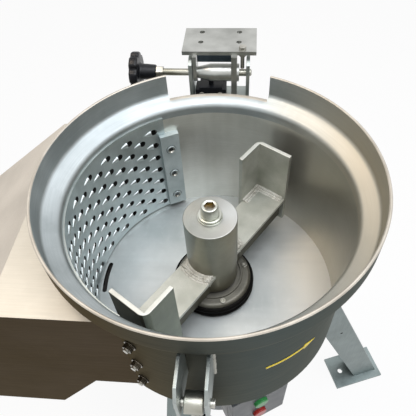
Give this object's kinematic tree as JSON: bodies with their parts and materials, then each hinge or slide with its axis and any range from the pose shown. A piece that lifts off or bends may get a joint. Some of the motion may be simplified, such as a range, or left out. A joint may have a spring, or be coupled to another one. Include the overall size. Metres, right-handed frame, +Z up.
{
  "type": "fruit rasp mill",
  "caption": "Open steel drum on splayed legs with a paddle rotor on a vertical motor shaft, a toothed grater plate in its wall, a discharge chute, a rear hopper hinge and a front swing latch.",
  "frame": {"origin": "on the rotor axis at ground level, the middle of the circle through the foot bolts", "axes": "+Z up along the rotor shaft, +X away from the chute, +Y towards the rear hinge"},
  "size_m": [0.7451, 0.6446, 0.7786],
  "materials": {
    "stainless_sheet": "brushed sheet, fine lines round the drum",
    "stainless_plate": "ground plate",
    "blasted_stainless": "bead blasted, matte",
    "shaft_steel": "turned",
    "bright_fasteners": "bright",
    "black_rubber": "matte",
    "motor_paint": "grey paint on an aluminium casting",
    "copper_winding": "varnished winding on a laminated core",
    "black_plastic": "satin",
    "grey_plastic": "satin",
    "green_plastic": "gloss",
    "red_plastic": "gloss"
  },
  "bodies": {
    "frame": {"rim_ring": "stainless_sheet", "drum_shell": "stainless_sheet", "drum_floor": "stainless_plate", "grater_plate": "stainless_sheet", "rear_clamp_strip": "stainless_plate", "front_clamp_strip": "stainless_plate", "strip_screws": "bright_fasteners", "strip_washers": "bright_fasteners", "strip_nuts": "bright_fasteners", "chute_hood": "stainless_sheet", "right_leg": "stainless_plate", "rear_leg": "stainless_plate", "front_leg": "stainless_plate", "foot_plates": "stainless_plate", "seal_ring": "black_rubber", "seal_cover": "stainless_plate", "seal_screws": "bright_fasteners", "shaft_seal": "black_rubber", "motor_studs": "bright_fasteners", "motor_washers": "bright_fasteners", "motor_nuts": "bright_fasteners", "motor_flange": "motor_paint", "motor_frame": "motor_paint", "motor_stator": "copper_winding", "motor_end_shield": "motor_paint", "upper_bearing": "shaft_steel", "lower_bearing": "shaft_steel", "fan_cowl": "motor_paint", "terminal_box": "black_plastic", "switch_cover": "grey_plastic", "cable_gland": "black_plastic", "hinge_bracket": "stainless_plate", "safety_switch": "black_plastic", "switch_screws": "bright_fasteners", "latch_ears": "stainless_plate", "latch_pivot": "shaft_steel"},
    "rotor": {"motor_shaft": "shaft_steel", "motor_core": "shaft_steel", "cooling_fan": "black_plastic", "shaft_key": "shaft_steel", "rotor_hub": "blasted_stainless", "rotor_arm_1": "blasted_stainless", "rotor_arm_2": "blasted_stainless", "paddle_1": "blasted_stainless", "paddle_2": "blasted_stainless", "hub_washer": "bright_fasteners", "hub_spring_washer": "bright_fasteners", "hub_screw": "bright_fasteners"},
    "hopper_bracket": {"swing_bracket": "stainless_sheet", "stop_screw": "bright_fasteners", "stop_nut": "bright_fasteners"},
    "pull_pin": {"hinge_pin": "shaft_steel", "pin_nut": "bright_fasteners", "pin_knob": "black_plastic"},
    "plunger": {"switch_plunger": "black_plastic"},
    "latch_bolt": {"swing_bolt": "shaft_steel"},
    "latch_grip": {"latch_knob": "black_plastic"},
    "start": {"start_button": "green_plastic"},
    "stop": {"stop_button": "red_plastic"}
  },
  "joints": [
    {"name": "rotor_spin", "type": "hinge", "parent": "frame", "child": "rotor", "pos_m": [0, 0, 0.6], "axis": [0, 0, 1], "continuous": true},
    {"name": "hopper_swing", "type": "hinge", "parent": "frame", "child": "hopper_bracket", "pos_m": [0, 0.196, 0.7416], "axis": [1, 0, 0], "range_deg": [0, 90]},
    {"name": "pin_pull", "type": "slide", "parent": "frame", "child": "pull_pin", "axis": [-1, 0, 0], "range_m": [0, 0.08]},
    {"name": "switch_press", "type": "slide", "parent": "frame", "child": "plunger", "axis": [0, 0, -1], "range_m": [0, 0.003], "stiffness_N_per_m": 300},
    {"name": "latch_swing", "type": "hinge", "parent": "frame", "child": "latch_bolt", "pos_m": [0, -0.193, 0.675], "axis": [-1, 0, 0], "range_deg": [0, 175]},
    {"name": "latch_turn", "type": "hinge", "parent": "latch_bolt", "child": "latch_grip", "pos_m": [0, -0.193, 0.56], "axis": [0, 0, -1], "continuous": true},
    {"name": "start_press", "type": "slide", "parent": "frame", "child": "start", "axis": [-0.5, 0.866, 0], "range_m": [0, 0.004], "stiffness_N_per_m": 400},
    {"name": "stop_press", "type": "slide", "parent": "frame", "child": "stop", "axis": [-0.5, 0.866, 0], "range_m": [0, 0.004], "stiffness_N_per_m": 400}
  ]
}
